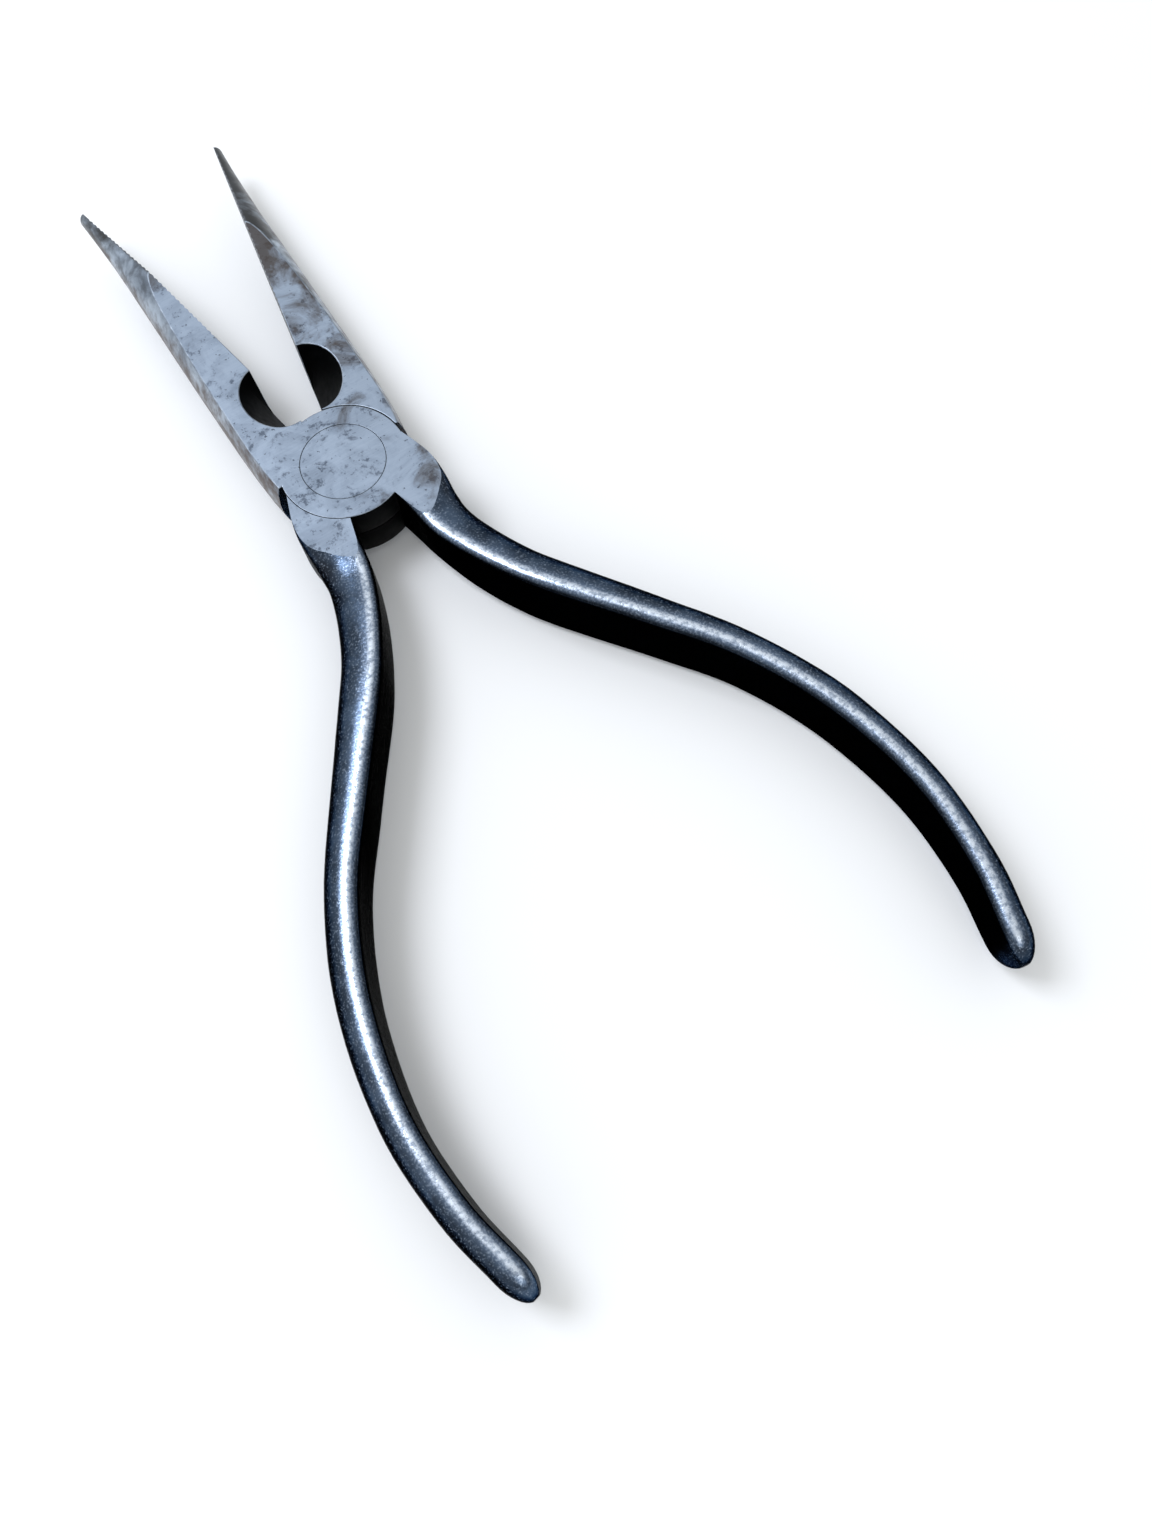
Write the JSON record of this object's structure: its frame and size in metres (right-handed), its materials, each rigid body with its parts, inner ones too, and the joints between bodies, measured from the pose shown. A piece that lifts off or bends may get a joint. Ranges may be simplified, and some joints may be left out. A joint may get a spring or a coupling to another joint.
{
  "type": "long-nose pliers",
  "caption": "Steel long-nose pliers with side cutters: crossed forged levers on a flush rivet, ground joint faces and bowed black-oxide handles.",
  "frame": {"origin": "on the rivet's axis, in the plane of the back ground face of the joint", "axes": "+Y from the rivet towards the jaw tips, midway between the jaws; +Z along the rivet, from the back ground face to the front one; +X across the pliers, towards the jaw of the back lever"},
  "size_m": [0.0746, 0.1563, 0.0108],
  "materials": {
    "forged_steel": "forged steel with a black oxide skin, ground to satin bright steel on the faces of the joint and jaws",
    "rivet_steel": "rivet ends ground flush with the joint, satin and stained"
  },
  "bodies": {
    "back_lever": {"back_lever": "forged_steel", "pivot_rivet": "rivet_steel"},
    "front_lever": {"front_lever": "forged_steel"}
  },
  "joints": [
    {"name": "pivot", "type": "hinge", "parent": "back_lever", "child": "front_lever", "pos_m": [0, 0, 0.0042], "axis": [0, 0, 1], "range_deg": [-20, 7]}
  ]
}
